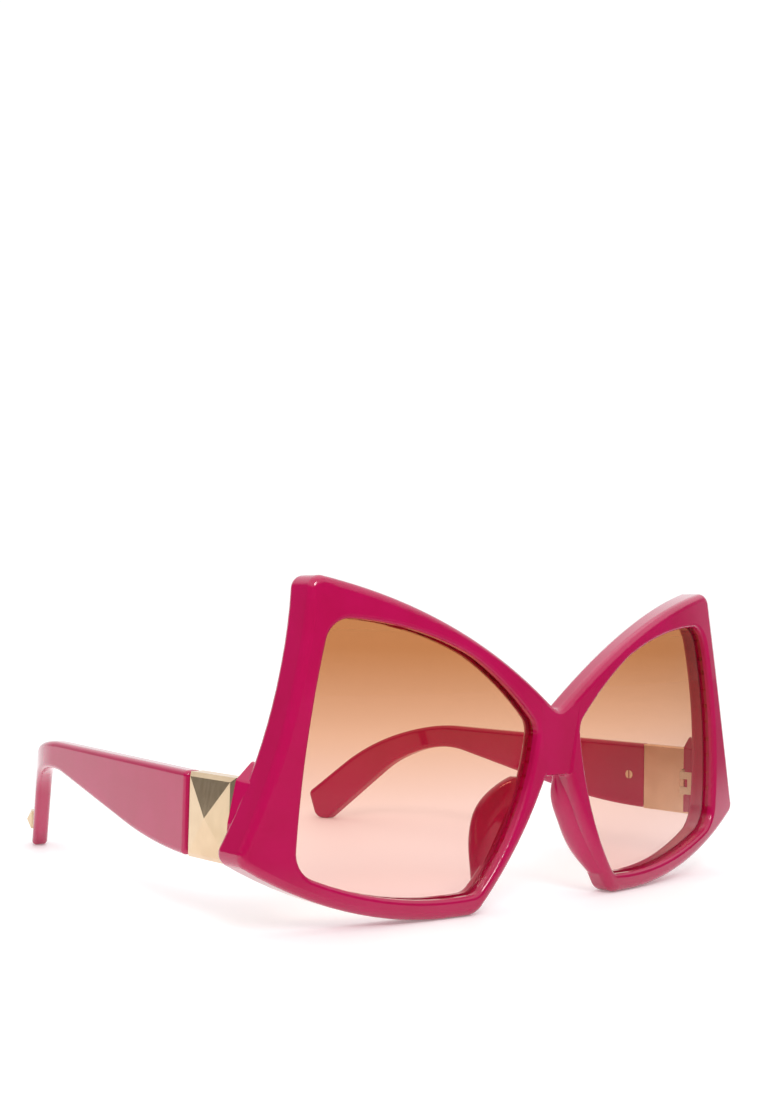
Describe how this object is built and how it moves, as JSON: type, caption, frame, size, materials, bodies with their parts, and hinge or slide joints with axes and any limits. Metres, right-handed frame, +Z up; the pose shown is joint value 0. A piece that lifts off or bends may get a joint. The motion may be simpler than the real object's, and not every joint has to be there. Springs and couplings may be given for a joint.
{
  "type": "sunglasses",
  "caption": "Cat eye sunglasses with a wrapped upswept front, tinted lenses, nose pads and two folding temples on metal hinge blocks.",
  "frame": {"origin": "middle of the base: under the centre of the bounding box, on the surface that the glasses stand on", "axes": "+Z up, front looks along -Y, temples run back along +Y, +X is the wearer's left"},
  "size_m": [0.1612, 0.1474, 0.0716],
  "materials": {
    "acetate": "polished",
    "lens": "gradient tint",
    "gold": "polished pale gold plate",
    "hinge_metal": "plated"
  },
  "bodies": {
    "front": {"front_frame": "acetate", "lens_left": "lens", "nose_pad_left": "acetate", "hinge_leaf_left": "hinge_metal", "pivot_screw_left": "hinge_metal", "lens_right": "lens", "nose_pad_right": "acetate", "hinge_leaf_right": "hinge_metal", "pivot_screw_right": "hinge_metal"},
    "temple_left": {"hinge_block_left": "gold", "block_cap_left": "gold", "temple_left": "acetate", "core_wire_left": "hinge_metal", "tang_screw_left": "gold", "tip_stud_left": "gold"},
    "temple_right": {"hinge_block_right": "gold", "block_cap_right": "gold", "temple_right": "acetate", "core_wire_right": "hinge_metal", "tang_screw_right": "gold", "tip_stud_right": "gold"}
  },
  "joints": [
    {"name": "fold_left", "type": "hinge", "parent": "front", "child": "temple_left", "pos_m": [0.0712, -0.05527, 0.0218], "axis": [0, 0, 1], "range_deg": [0, 80]},
    {"name": "fold_right", "type": "hinge", "parent": "front", "child": "temple_right", "pos_m": [-0.0712, -0.05527, 0.0218], "axis": [0, 0, -1], "range_deg": [0, 70]}
  ]
}
